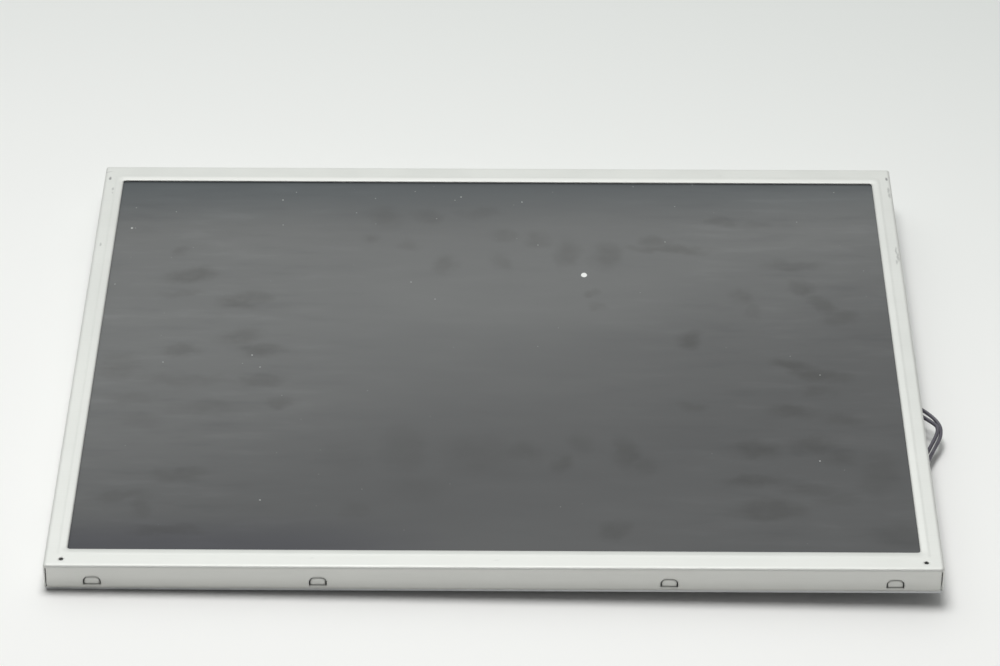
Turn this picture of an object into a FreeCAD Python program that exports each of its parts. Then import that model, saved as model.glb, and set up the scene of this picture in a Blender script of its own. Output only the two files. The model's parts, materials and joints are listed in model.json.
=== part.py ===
import FreeCAD, Part
import math
import os
import Sketcher
from FreeCAD import Placement, Rotation, Vector

# Flat screen module lying face up, in mm. X runs across the screen, Y to its far edge and Z out of
# its front. The shield over the driver board ends at Z = 0, and every level is stacked up from there.

SIZES = {
    # outline and front bezel
    "outline_x": 358.5,
    "outline_y": 296.5,
    "side_border": 8.75,
    "end_border": 11.4,
    "bezel_thick": 0.5,
    "bezel_wall": 10.9,
    "bezel_bend": 0.9,
    "bezel_corner": 1.2,
    "window_corner": 1.2,
    "lip_width": 2.8,
    "lip_drop": 0.35,
    "seam_width": 0.45,
    "seam_edge": 0.65,
    "seam_drop": 1.3,
    "gauge_edge_x": 6.95,
    "gauge_edge_y": 4.35,
    "gauge_radius": 0.9,
    # lanced lock tongues
    "tongue_window": 7.0,
    "tongue_rise": 3.9,
    "tongue_below_face": 5.4,
    "tongue_slit": 0.5,
    "tongue_round": 2.3,
    "tongue_root": 0.6,
    "tongue_set": 0.35,
    "near_tongue_edge": 19.2,
    "near_tongue_inner": 70.0,
    # stack of levels, from the rear to the front
    "board_space": 4.2,
    "chassis_thick": 0.8,
    "reflector_thick": 0.2,
    "plate_thick": 7.0,
    "lower_diffuser_thick": 0.2,
    "prism_thick": 0.25,
    "upper_diffuser_thick": 0.2,
    "film_gap": 0.15,
    "ledge_thick": 1.3,
    "glass_thick": 0.7,
    "polarizer_thick": 0.2,
    "gasket_thick": 0.25,
    # rear chassis
    "fit_gap": 0.15,
    "film_room": 1.2,
    "chassis_edge": 0.5,
    "chassis_relief": 2.4,
    "catch_play": 0.7,
    "bead_end": 68.6,
    "bead_width": 7.0,
    "bead_depth": 0.8,
    "bead_pitch": 70.0,
    "bead_start": -90.0,
    # screen glass
    "glass_edge": 0.7,
    "gate_ledge": 2.7,
    "source_ledge": 5.2,
    "cell_gap": 0.4,
    "polarizer_inset": 0.2,
    "gasket_inset": 0.8,
    # panel guide, sheets and light guide plate
    "ledge_lap": 0.5,
    "plate_play": 0.7,
    "plate_end_lap": 1.9,
    "corner_room": 9.0,
    "sheet_inset": 0.3,
    "sheet_end_inset": 1.5,
    # lamps
    "lamp_radius": 1.3,
    "lamp_pitch": 3.4,
    "lamp_stand_off": 3.1,
    "lamp_back_play": 0.4,
    "lamp_box_play": 2.2,
    "lamp_end_play": 2.0,
    "holder_length": 10.0,
    "holder_gap": 0.3,
    "link_thick": 0.7,
    # driver films and chips
    "drive_width": 26.0,
    "drive_thick": 0.15,
    "drive_bend": 1.2,
    "drive_bond": 3.0,
    "drive_gap": 0.6,
    "source_chip_x": 16.0,
    "source_chip_y": 2.2,
    "source_chip_thick": 0.45,
    "gate_chip_x": 1.6,
    "gate_chip_y": 20.0,
    "gate_chip_thick": 0.5,
    # driver board and its shield
    "board_thick": 1.0,
    "insulator_thick": 0.2,
    "insulator_lap": 1.5,
    "board_inset_x": 18.6,
    "board_inset_y": 6.4,
    "board_depth": 26.0,
    "stem_x": 128.0,
    "stem_depth": 60.0,
    "shield_thick": 0.5,
    "shield_room": 5.5,
    "shield_edge": 0.25,
    "shield_wall_inset": 1.4,
    "guard_play": 0.2,
    "ear_width": 9.0,
    "ear_reach": 8.5,
    "stem_ear_inset": 21.5,
    "socket_x": 22.0,
    "socket_y": 4.6,
    "socket_thick": 1.9,
    "socket_slot_x": 18.5,
    "socket_slot_y": 3.0,
    "socket_slot_thick": 0.8,
    "socket_play": 2.0,
    "timer_side": 20.0,
    "timer_thick": 1.2,
    "vent_length": 14.0,
    "vent_width": 2.4,
    "vent_pitch": 22.0,
    # screws and side mounts
    "screw_head_radius": 2.1,
    "screw_head_thick": 1.0,
    "screw_radius": 1.15,
    "screw_play": 0.1,
    "cross_length": 2.4,
    "cross_width": 0.5,
    "cross_depth": 0.5,
    "mount_y": 100.0,
    "mount_bore": 1.25,
    "mount_hole": 1.6,
    "mount_window": 5.2,
    "nut_side": 2.8,
    "nut_length": 2.4,
    # lamp leads, grommet and plug
    "lead_radius": 0.8,
    "lead_rise": 0.3,
    "lead_gap": 0.15,
    "lead_outer_exit": -22.2,
    "lead_inner_exit": -27.5,
    "notch_room": 5.0,
    "grommet_gap": 0.05,
    "lead_bow": 10.0,
    "plug_inset": 21.1,
    "plug_y": -76.75,
    "plug_length": 14.0,
    "plug_width": 7.8,
    "plug_lift": 0.1,
    "plug_pitch": 2.5,
}


class Size:
    """A length that carries its value and the expression that makes it from the sheet."""

    def __init__(self, value, text):
        self.value = value
        self.text = text

    def __add__(self, other):
        other = as_size(other)
        return Size(self.value + other.value, f"({self.text} + {other.text})")

    def __sub__(self, other):
        other = as_size(other)
        return Size(self.value - other.value, f"({self.text} - {other.text})")

    def __mul__(self, factor):
        return Size(self.value * factor, f"({self.text} * {factor})")

    def __truediv__(self, factor):
        return Size(self.value / factor, f"({self.text} / {factor})")

    def __neg__(self):
        return self * -1


def as_size(value):
    return value if isinstance(value, Size) else Size(value, f"({value})")


doc = FreeCAD.newDocument("screen_panel")
sheet = doc.addObject("Spreadsheet::Sheet", "Sizes")


class Sheet:
    """The driving sizes by name."""


s = Sheet()
for row, (name, value) in enumerate(SIZES.items(), 1):
    sheet.set(f"A{row}", name)
    sheet.set(f"B{row}", str(value))
    sheet.setAlias(f"B{row}", name)
    setattr(s, name, Size(value, f"Sizes.{name}"))
doc.recompute()

pieces = []


def bind(item, path, size):
    item.setExpression(path, as_size(size).text)


def keep(item, label):
    item.Label = label
    pieces.append(item)
    return item


# Sketched bodies

def new_body(label):
    return keep(doc.addObject("PartDesign::Body", label), label)


def toward(corner, other, radius):
    """The point one radius from a corner along the level or upright line to its neighbour."""
    x, y = corner[:2]
    across = other[0].value - x.value
    along = other[1].value - y.value
    if abs(across) > abs(along):
        return (x + radius * int(math.copysign(1, across)), y)
    return (x, y + radius * int(math.copysign(1, along)))


def pin(end, point):
    """The driven distances that tie one end of a sketched line or circle to the origin."""
    return [(Sketcher.Constraint(kind, -1, 1, *end, size.value), size)
            for kind, size in zip(("DistanceX", "DistanceY"), point)]


def join(end, other):
    return [(Sketcher.Constraint("Coincident", *end, *other), None)]


def set_radius(curve, radius):
    return [(Sketcher.Constraint("Radius", curve, radius.value), radius)]


def constrain(drawing, ties):
    indices = drawing.addConstraint([constraint for constraint, size in ties])
    for index, (constraint, size) in zip(indices, ties):
        if size is not None:
            bind(drawing, f"Constraints[{index}]", size)


def flat(point):
    return Vector(point[0].value, point[1].value, 0)


def draw_circle(drawing, x, y, radius):
    curve = drawing.addGeometry(Part.Circle(flat((x, y)), Vector(0, 0, 1), radius.value))
    constrain(drawing, pin((curve, 3), (x, y)) + set_radius(curve, radius))


def draw_loop(drawing, corners):
    """Draws a closed loop of level and upright lines; a corner with a third value is rounded by it."""
    ends = []
    for index, corner in enumerate(corners):
        if len(corner) == 2:
            ends.append((corner, corner))
            continue
        after = corners[(index + 1) % len(corners)]
        ends.append((toward(corner, corners[index - 1], corner[2]), toward(corner, after, corner[2])))
    lines = []
    for index in range(len(corners)):
        start, stop = ends[index - 1][1], ends[index][0]
        lines.append(drawing.addGeometry(Part.LineSegment(flat(start), flat(stop))))
    ties = []
    for index, corner in enumerate(corners):
        before, after = lines[index], lines[(index + 1) % len(corners)]
        ties += pin((before, 2), ends[index][0])
        if len(corner) == 2:
            ties += join((before, 2), (after, 1))
            continue
        ties += pin((after, 1), ends[index][1])
        first, last = flat(ends[index][0]), flat(ends[index][1])
        centre = first + last - flat(corner)
        angles = [math.atan2(p.y - centre.y, p.x - centre.x) for p in (first, last)]
        forward = (angles[1] - angles[0]) % (2 * math.pi) < math.pi
        start, stop = angles if forward else reversed(angles)
        circle = Part.Circle(centre, Vector(0, 0, 1), corner[2].value)
        arc = drawing.addGeometry(Part.ArcOfCircle(circle, start, stop))
        arc_start, arc_end = (1, 2) if forward else (2, 1)
        ties += join((arc, arc_start), (before, 2)) + join((arc, arc_end), (after, 1))
        ties += set_radius(arc, corner[2])
    constrain(drawing, ties)


def add_sketch(body, role, level, loops):
    drawing = body.newObject("Sketcher::SketchObject", f"{body.Name}_sketch")
    plane = next(item for item in body.Origin.OriginFeatures if item.Role == role)
    drawing.AttachmentSupport = [(plane, "")]
    drawing.MapMode = "FlatFace"
    bind(drawing, "AttachmentOffset.Base.z", level)
    for loop in loops:
        if isinstance(loop, list):
            draw_loop(drawing, loop)
        else:
            draw_circle(drawing, *loop)
    return drawing


def pad(body, role, level, length, loops):
    drawing = add_sketch(body, role, level, loops)
    feature = body.newObject("PartDesign::Pad", f"{body.Name}_pad")
    feature.Profile = drawing
    bind(feature, "Length", length)
    drawing.Visibility = False
    return feature


def pocket(body, role, level, length, loops):
    """Removes the loops from a level onwards, in the direction that a pad grows."""
    drawing = add_sketch(body, role, level, loops)
    feature = body.newObject("PartDesign::Pocket", f"{body.Name}_pocket")
    feature.Profile = drawing
    feature.Reversed = True
    bind(feature, "Length", length)
    drawing.Visibility = False
    return feature


def dress_level(body, feature, level, reach, kind, **sizes):
    """Rounds or chamfers the edges of a feature that lie at one level and within a reach across X."""
    doc.recompute()
    edges = []
    for index, edge in enumerate(feature.Shape.Edges, 1):
        box = edge.BoundBox
        at_level = abs(box.ZMin - level.value) < 0.01 and abs(box.ZMax - level.value) < 0.01
        if at_level and max(-box.XMin, box.XMax) < reach.value:
            edges.append(f"Edge{index}")
    dressed = body.newObject(f"PartDesign::{kind}", f"{body.Name}_edge")
    dressed.Base = (feature, edges)
    for side, size in sizes.items():
        bind(dressed, side, size)
    return dressed


def repeat(body, feature, axis, pitch, count):
    """Repeats a feature in a row along one axis of its own sketch."""
    row = body.newObject("PartDesign::LinearPattern", f"{body.Name}_row")
    row.Originals = [feature]
    row.Direction = (feature.Profile[0], [axis])
    row.Occurrences = count
    bind(row, "Length", pitch * (count - 1))
    body.Tip = row


def rect(x0, x1, y0, y1, radius=None):
    corners = [(x0, y0), (x1, y0), (x1, y1), (x0, y1)]
    return corners if radius is None else [corner + (radius,) for corner in corners]


def centred(half_x, half_y, radius=None):
    return rect(-half_x, half_x, -half_y, half_y, radius)


# Solids from primitives

def box(name, x, y, z):
    item = doc.addObject("Part::Box", name)
    for side, place, (low, high) in zip(("Length", "Width", "Height"), "xyz", (x, y, z)):
        bind(item, side, as_size(high) - low)
        bind(item, f"Placement.Base.{place}", low)
    return item


def place(item, foot, turn):
    item.Placement = Placement(Vector(), turn)
    for axis, size in zip("xyz", foot):
        bind(item, f"Placement.Base.{axis}", size)
    return item


def cylinder(name, radius, length, foot, turn=Rotation()):
    item = place(doc.addObject("Part::Cylinder", name), foot, turn)
    bind(item, "Radius", radius)
    bind(item, "Height", length)
    return item


def cut(name, base, *tools):
    for tool in tools:
        item = doc.addObject("Part::Cut", f"{name}_cut")
        item.Base = base
        item.Tool = tool
        base = item
    return base


def fuse(name, *items):
    item = doc.addObject("Part::MultiFuse", name)
    item.Shapes = list(items)
    return item


def group(label, items):
    item = doc.addObject("Part::Compound", label)
    item.Links = list(items)
    return keep(item, label)


# Levels and shared seats

half_x, half_y = s.outline_x / 2, s.outline_y / 2
z_board = s.board_space - s.insulator_thick - s.board_thick
z_chassis = s.board_space
z_reflector = z_chassis + s.chassis_thick
z_plate = z_reflector + s.reflector_thick
z_sheets = z_plate + s.plate_thick
z_prism = z_sheets + s.lower_diffuser_thick
z_upper = z_prism + s.prism_thick
z_ledge = z_upper + s.upper_diffuser_thick + s.film_gap
z_array = z_ledge + s.ledge_thick
z_filter = z_array + s.glass_thick
z_front = z_filter + s.glass_thick
z_gasket = z_front + s.polarizer_thick
z_lip = z_gasket + s.gasket_thick
z_under = z_lip + s.lip_drop
z_face = z_under + s.bezel_thick
z_wall = z_face - s.bezel_wall

open_x, open_y = half_x - s.side_border, half_y - s.end_border
step_x, step_y = open_x + s.lip_width, open_y + s.lip_width
lip_out_x, lip_out_y = step_x + s.bezel_thick, step_y + s.bezel_thick
tray_x = half_x - s.bezel_thick - s.fit_gap
tray_near = -(half_y - s.bezel_thick - s.fit_gap)
tray_far = -tray_near - s.film_room
seat_x = tray_x - s.chassis_thick
wall_out = seat_x - s.fit_gap
tongue_top = z_face - s.tongue_below_face
tongue_bottom = tongue_top - s.tongue_rise

lead_z = z_reflector + s.lead_radius + s.lead_rise
channel_top = lead_z + s.lead_radius + s.lead_rise
notch_top = channel_top + s.lead_rise
notch_near, notch_far = s.lead_inner_exit - s.notch_room, s.lead_outer_exit + s.notch_room
lead_outer_x = wall_out - s.lead_radius - s.grommet_gap
lead_inner_x = lead_outer_x - s.lead_radius * 2 - s.lead_gap
guide_wall_x = lead_inner_x - s.lead_radius - s.grommet_gap
mount_z = (channel_top + z_ledge) / 2

cell_right, cell_near = lip_out_x + s.fit_gap, -(lip_out_y + s.fit_gap)
array_right, array_near = cell_right - s.cell_gap, cell_near + s.cell_gap
filter_x, filter_y = array_right - s.glass_edge, -(array_near + s.glass_edge)
array_left, array_far = -(filter_x + s.gate_ledge), filter_y + s.source_ledge
ledge_x, ledge_y = open_x + s.ledge_lap, open_y + s.ledge_lap
plate_x, plate_y = guide_wall_x - s.plate_play, open_y + s.plate_end_lap
guide_wall_y = plate_y - s.corner_room
lamp_z = z_plate + s.plate_thick / 2
lamp_row = plate_y + s.lamp_stand_off
lamp_back = tray_far - s.chassis_thick - s.lamp_back_play

FILM_COUNT = 8
GATE_COUNT = 4
drive_pitch = filter_x * 2 / (FILM_COUNT + 0.4)
gate_pitch = filter_y * 2 / (GATE_COUNT + 0.3)
first_film_x = -drive_pitch * (FILM_COUNT - 1) / 2
near_tongue_outer = half_x - s.near_tongue_edge
NEAR_TONGUES = [-near_tongue_outer, -s.near_tongue_inner, s.near_tongue_inner, near_tongue_outer]
FAR_TONGUES = [-drive_pitch * 2, drive_pitch * 2]
SIDE_TONGUES = [as_size(0.0)]
MOUNT_PLACES = [-s.mount_y, s.mount_y]


# Front bezel: pressed sheet, with walls folded down, a lip that slopes to the window and lock
# tongues lanced inwards, which catch in windows of the chassis and under lugs of the panel guide

def arches(places, width, low, high, radius):
    loops = []
    for place in places:
        left, right = place - width / 2, place + width / 2
        loops.append([(left, low), (right, low), (right, high, radius), (left, high, radius)])
    return loops


bezel = new_body("front_bezel")
block = pad(bezel, "XY_Plane", z_wall, s.bezel_wall, [centred(half_x, half_y, s.bezel_corner)])
dress_level(bezel, block, z_face, s.outline_x, "Fillet", Radius=s.bezel_bend)
inner_x, inner_y = half_x - s.bezel_thick, half_y - s.bezel_thick
hollow = centred(inner_x, inner_y, s.bezel_corner - s.bezel_thick)
pocket(bezel, "XY_Plane", z_wall, z_under - z_wall, [hollow])
pad(bezel, "XY_Plane", z_lip, s.lip_drop, [centred(lip_out_x, lip_out_y)])
window = pocket(bezel, "XY_Plane", z_lip, z_face - z_lip, [centred(open_x, open_y, s.window_corner)])
slope = dress_level(bezel, window, z_face, step_x, "Chamfer", Size=s.lip_drop, Size2=s.lip_width)
slope.ChamferType = "Two distances"
slope.FlipDirection = True
gauge_x, gauge_y = half_x - s.gauge_edge_x, -(half_y - s.gauge_edge_y)
gauge_holes = [(x, gauge_y, s.gauge_radius) for x in (-gauge_x, gauge_x)]
pocket(bezel, "XY_Plane", z_under, s.bezel_thick, gauge_holes)
WALLS = [
    ("XZ_Plane", inner_y, inner_y - s.tongue_set, NEAR_TONGUES),
    ("XZ_Plane", -half_y, -half_y + s.tongue_set, FAR_TONGUES),
    ("YZ_Plane", inner_x, inner_x - s.tongue_set, SIDE_TONGUES),
    ("YZ_Plane", -half_x, -half_x + s.tongue_set, SIDE_TONGUES),
]
tongue_width = s.tongue_window - s.tongue_slit * 2
for role, level, inset_level, places in WALLS:
    windows = arches(places, s.tongue_window, tongue_bottom, tongue_top, s.tongue_round)
    pocket(bezel, role, level, s.bezel_thick, windows)
    tongues = arches(places, tongue_width, tongue_bottom - s.tongue_root, tongue_top - s.tongue_slit,
                     s.tongue_round - s.tongue_slit)
    pad(bezel, role, inset_level, s.bezel_thick, tongues)
seam_far = half_x - s.seam_edge
seam_near = seam_far - s.seam_width
seams = [rect(seam_near, seam_far, z_wall, z_face - s.seam_drop),
         rect(-seam_far, -seam_near, z_wall, z_face - s.seam_drop)]
for level in (half_y - s.bezel_corner, -half_y):
    pocket(bezel, "XZ_Plane", level, s.bezel_corner, seams)
window_half = s.mount_window / 2
mount_windows = [rect(y - window_half, y + window_half, mount_z - window_half, mount_z + window_half)
                 for y in MOUNT_PLACES]
for level in (inner_x, -half_x):
    pocket(bezel, "YZ_Plane", level, s.bezel_thick, mount_windows)
lead_notch = rect(notch_near, notch_far, z_wall, notch_top)
pocket(bezel, "YZ_Plane", inner_x, s.bezel_thick, [lead_notch])

# Outline of the board shield and the seats of the screws, shared by the pieces they hold

board_x, stem_x = tray_x - s.board_inset_x, s.stem_x / 2
board_far = tray_far - s.board_inset_y
board_near = board_far - s.board_depth
stem_near = board_near - s.stem_depth
shield_x, shield_near = board_x + s.shield_room, board_near - s.shield_room
shield_stem_x, shield_stem_near = stem_x + s.shield_room, stem_near - s.shield_room
ear_half = s.ear_width / 2
stem_ear_x = shield_stem_x - s.stem_ear_inset
end_ear_y = (board_near + board_far) / 2
EARS = []
for x in (-stem_ear_x, stem_ear_x):
    loop = rect(x - ear_half, x + ear_half, shield_stem_near - s.ear_reach, shield_stem_near)
    EARS.append((loop, (x, shield_stem_near - s.ear_reach / 2)))
for low, high in ((-shield_x - s.ear_reach, -shield_x), (shield_x, shield_x + s.ear_reach)):
    loop = rect(low, high, end_ear_y - ear_half, end_ear_y + ear_half)
    EARS.append((loop, ((low + high) / 2, end_ear_y)))
SHIELD_SCREWS = [seat for loop, seat in EARS]
screw_holes = [(x, y, s.screw_radius + s.screw_play) for x, y in SHIELD_SCREWS]


# Rear chassis: pressed tray whose walls carry the panel guide, with windows for the tongues,
# beads pressed out of its floor, and holes for the screws and side nuts

chassis = new_body("rear_chassis")
tray = rect(-tray_x, tray_x, tray_near, tray_far)
block = pad(chassis, "XY_Plane", z_chassis, z_ledge - z_chassis, [tray])
dress_level(chassis, block, z_chassis, s.outline_x, "Chamfer", Size=s.chassis_edge)
floor = rect(-seat_x, seat_x, tray_near + s.chassis_thick, tray_far - s.chassis_thick)
pocket(chassis, "XY_Plane", z_reflector, z_ledge - z_reflector, [floor])
relief = s.chassis_relief
reliefs = [rect(x0, x1, y0, y1) for x0, x1 in ((-tray_x, relief - tray_x), (tray_x - relief, tray_x))
           for y0, y1 in ((tray_near, tray_near + relief), (tray_far - relief, tray_far))]
pocket(chassis, "XY_Plane", z_wall, z_ledge - z_wall, reliefs)
catch_half = s.tongue_window / 2 + s.catch_play
catch_low = tongue_bottom - s.tongue_root - s.catch_play
near_catches = [rect(x - catch_half, x + catch_half, catch_low, tongue_top) for x in NEAR_TONGUES]
pocket(chassis, "XZ_Plane", -tray_near - s.chassis_thick, s.chassis_thick, near_catches)
side_openings = [rect(y - catch_half, y + catch_half, catch_low, tongue_top) for y in SIDE_TONGUES]
side_openings += [(y, mount_z, s.mount_hole) for y in MOUNT_PLACES]
grommet_notch = rect(notch_near, notch_far, z_reflector, notch_top)
pocket(chassis, "YZ_Plane", -tray_x, s.chassis_thick, side_openings)
pocket(chassis, "YZ_Plane", seat_x, s.chassis_thick, side_openings + [grommet_notch])


def beads(half_length, half_width):
    rows = [s.bead_start + s.bead_pitch * index for index in (0, 1)]
    return [rect(-half_length, half_length, y - half_width, y + half_width, half_width * 0.8) for y in rows]


half_length, half_width = tray_x - s.bead_end, s.bead_width / 2
pad(chassis, "XY_Plane", z_chassis - s.bead_depth, s.bead_depth, beads(half_length, half_width))
inner_beads = beads(half_length - s.chassis_thick, half_width - s.chassis_thick)
pocket(chassis, "XY_Plane", z_chassis, s.chassis_thick, inner_beads)
pocket(chassis, "XY_Plane", z_chassis, s.chassis_thick, screw_holes)

# Panel guide: moulded frame on the chassis walls, whose ledge carries the glass and holds the sheets
# down, with gaps for the driver films, lugs for the far tongues and a channel for the lamp leads

guide = new_body("panel_guide")
rim = rect(-tray_x, tray_x, tray_near, tray_far, s.bezel_corner)
pad(guide, "XY_Plane", z_ledge, z_under - z_ledge, [rim, centred(ledge_x, ledge_y)])
cell = rect(array_left - s.cell_gap, cell_right, cell_near, array_far + s.cell_gap)
pocket(guide, "XY_Plane", z_array, z_under - z_array, [cell])
gap_half = s.drive_width / 2 + s.drive_gap
gap_level = z_filter - s.film_gap * 2
film_gap = rect(first_film_x - gap_half, first_film_x + gap_half, array_far, tray_far + s.cell_gap)
first_gap = pocket(guide, "XY_Plane", gap_level, z_under - gap_level, [film_gap])
repeat(guide, first_gap, "H_Axis", drive_pitch, FILM_COUNT)
side_walls = [rect(guide_wall_x, wall_out, -guide_wall_y, guide_wall_y),
              rect(-wall_out, -guide_wall_x, -guide_wall_y, guide_wall_y)]
pad(guide, "XY_Plane", z_reflector, z_ledge - z_reflector, side_walls)
nut_half = s.nut_side + s.fit_gap
nut_windows = [rect(y - nut_half, y + nut_half, mount_z - nut_half, mount_z + nut_half) for y in MOUNT_PLACES]
nut_room = s.nut_length + s.fit_gap
for level in (-seat_x, seat_x - nut_room):
    pocket(guide, "YZ_Plane", level, nut_room, nut_windows)
channel = rect(guide_wall_x - s.fit_gap, seat_x, notch_near, guide_wall_y + s.fit_gap)
pocket(guide, "XY_Plane", z_reflector, channel_top - z_reflector, [channel])
lugs = [rect(x - tongue_width / 2, x + tongue_width / 2, tray_far, -tray_near) for x in FAR_TONGUES]
pad(guide, "XY_Plane", tongue_top, z_array - tongue_top, lugs)

# Screen glass, its polarizers and the foam under the bezel lip

x_span, y_span = (-filter_x, filter_x), (-filter_y, filter_y)
keep(box("color_filter_glass", x_span, y_span, (z_filter, z_front)), "color_filter_glass")
x_span, y_span = (array_left, array_right), (array_near, array_far)
keep(box("array_glass", x_span, y_span, (z_array, z_filter)), "array_glass")
face_x, face_y = filter_x - s.polarizer_inset, filter_y - s.polarizer_inset
keep(box("front_polarizer", (-face_x, face_x), (-face_y, face_y), (z_front, z_gasket)), "front_polarizer")
rear_x, rear_y = ledge_x - s.cell_gap, ledge_y - s.cell_gap
rear_levels = (z_array - s.polarizer_thick, z_array)
keep(box("rear_polarizer", (-rear_x, rear_x), (-rear_y, rear_y), rear_levels), "rear_polarizer")
foam_x, foam_y = face_x - s.polarizer_inset, face_y - s.polarizer_inset
foam = box("foam_block", (-foam_x, foam_x), (-foam_y, foam_y), (z_gasket, z_lip))
hole_x, hole_y = open_x + s.gasket_inset, open_y + s.gasket_inset
foam_hole = box("foam_hole", (-hole_x, hole_x), (-hole_y, hole_y), (z_gasket, z_lip))
keep(cut("bezel_gasket", foam, foam_hole), "bezel_gasket")

# Sheets and light guide plate

sheet_x, sheet_y = plate_x - s.sheet_inset, plate_y - s.sheet_end_inset
SHEETS = [
    ("reflector_sheet", z_reflector, s.reflector_thick),
    ("lower_diffuser", z_sheets, s.lower_diffuser_thick),
    ("prism_sheet", z_prism, s.prism_thick),
    ("upper_diffuser", z_upper, s.upper_diffuser_thick),
]
for label, level, thick in SHEETS:
    keep(box(label, (-sheet_x, sheet_x), (-sheet_y, sheet_y), (level, level + thick)), label)
plate = box("light_guide_plate", (-plate_x, plate_x), (-plate_y, plate_y), (z_plate, z_sheets))
keep(plate, "light_guide_plate")

# Lamps at the near and far edges: two tubes in a folded reflector, held by rubber blocks

to_x = Rotation(Vector(0, 1, 0), 90)
box_half = guide_wall_x - s.lamp_box_play
lamp_half = box_half - s.lamp_end_play
links = []
for edge, side in (("near", -1), ("far", 1)):
    back, lap = lamp_back * side, (sheet_y + s.holder_gap) * side
    inside = (lamp_back - s.reflector_thick) * side
    lid = z_sheets + s.reflector_thick
    fold = [(back, z_reflector), (lap, z_reflector), (lap, z_plate), (inside, z_plate),
            (inside, z_sheets), (lap, z_sheets), (lap, lid), (back, lid)]
    shade = new_body(f"{edge}_lamp_reflector")
    pad(shade, "YZ_Plane", -box_half, box_half * 2, [fold])
    lamp_y = lamp_row * side
    lamp_levels = (("lower", lamp_z - s.lamp_pitch / 2), ("upper", lamp_z + s.lamp_pitch / 2))
    for name, level in lamp_levels:
        label = f"{edge}_lamp_{name}"
        keep(cylinder(label, s.lamp_radius, lamp_half * 2, (-lamp_half, lamp_y, level), to_x), label)
    grip_half = s.lamp_radius + s.grommet_gap
    seats = [rect(lamp_y - grip_half, lamp_y + grip_half, level - grip_half, level + grip_half)
             for name, level in lamp_levels]
    ends = sorted((inside - s.holder_gap * side, (plate_y + s.holder_gap) * side), key=lambda end: end.value)
    for hand, level in (("left", -box_half), ("right", box_half - s.holder_length)):
        holder = new_body(f"{edge}_lamp_holder_{hand}")
        pad(holder, "YZ_Plane", level, s.holder_length, [rect(*ends, z_plate, z_sheets)] + seats)
    link_y = (lamp_y - s.link_thick, lamp_y + s.link_thick)
    link_z = (lamp_levels[0][1] - s.link_thick, lamp_levels[1][1] + s.link_thick)
    links.append(box(f"{edge}_link", (-box_half - s.link_thick, -box_half), link_y, link_z))
group("lamp_links", links)

# Driver films: bent from the glass round the far edge to the board, with a chip on each

films = new_body("source_driver_films")
films.AllowCompound = True
film_in = tray_far + s.drive_gap
film_out = film_in + s.drive_thick
bend_out = s.drive_bend + s.drive_thick
bond_start, bond_end = array_far - s.drive_bond, board_far - s.drive_bond
film_top, film_foot = z_filter + s.drive_thick, z_board - s.drive_thick
film_fold = [(bond_start, film_top), (bond_start, z_filter), (film_in, z_filter, s.drive_bend),
             (film_in, z_board, s.drive_bend), (bond_end, z_board), (bond_end, film_foot),
             (film_out, film_foot, bend_out), (film_out, film_top, bend_out)]
first_film = pad(films, "YZ_Plane", first_film_x - s.drive_width / 2, s.drive_width, [film_fold])
repeat(films, first_film, "N_Axis", drive_pitch, FILM_COUNT)

chips = []
chip_levels = (z_board - s.drive_thick - s.source_chip_thick, z_board - s.drive_thick)
chip_near = board_far + s.drive_gap * 2
for index in range(FILM_COUNT):
    x = first_film_x + drive_pitch * index
    x_span = (x - s.source_chip_x / 2, x + s.source_chip_x / 2)
    chips.append(box("source_chip", x_span, (chip_near, chip_near + s.source_chip_y), chip_levels))
group("source_driver_chips", chips)
chips = []
chip_left = array_left + (s.gate_ledge - s.gate_chip_x) / 2
for index in range(GATE_COUNT):
    y = gate_pitch * (index - (GATE_COUNT - 1) / 2)
    y_span = (y - s.gate_chip_y / 2, y + s.gate_chip_y / 2)
    levels = (z_filter, z_filter + s.gate_chip_thick)
    chips.append(box("gate_chip", (chip_left, chip_left + s.gate_chip_x), y_span, levels))
group("gate_driver_chips", chips)

# Driver board with its parts, the insulator behind it and the shield over it


def tee(x, near, stem_x, stem_near, far):
    return [(-x, near), (-stem_x, near), (-stem_x, stem_near), (stem_x, stem_near),
            (stem_x, near), (x, near), (x, far), (-x, far)]


board = new_body("driver_board")
pad(board, "XY_Plane", z_board, s.board_thick, [tee(board_x, board_near, stem_x, stem_near, board_far)])
insulator = new_body("board_insulator")
lap = s.insulator_lap
insulator_outline = tee(board_x + lap, board_near - lap, stem_x + lap, stem_near - lap, board_far + lap)
pad(insulator, "XY_Plane", z_chassis - s.insulator_thick, s.insulator_thick, [insulator_outline])


def on_stem(name, across, up, length, width, thick):
    """A block on the rear of the board's stem, placed by shares of its half width and its depth."""
    x, y = stem_x * across, stem_near + s.stem_depth * up
    x_span, y_span = (x - length / 2, x + length / 2), (y - width / 2, y + width / 2)
    return box(name, x_span, y_span, (z_board - thick, z_board))


timer_up = 0.6
keep(on_stem("timing_chip", 0, timer_up, s.timer_side, s.timer_side, s.timer_thick), "timing_chip")
COMPONENTS = [
    (-0.60, 0.72, 0.40, 0.50), (0.56, 0.75, 0.50, 0.30), (-0.66, 0.37, 0.25, 0.25), (0.64, 0.38, 0.60, 0.40),
    (-0.38, 0.20, 0.30, 0.20), (0.38, 0.20, 0.20, 0.30), (-0.85, 0.55, 0.30, 0.20), (0.85, 0.58, 0.20, 0.20),
]
components = []
for across, up, length, width in COMPONENTS:
    components.append(on_stem("component", across, up, s.timer_side * length, s.timer_side * width,
                              s.timer_thick * (0.8 + length)))
group("board_components", components)

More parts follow.
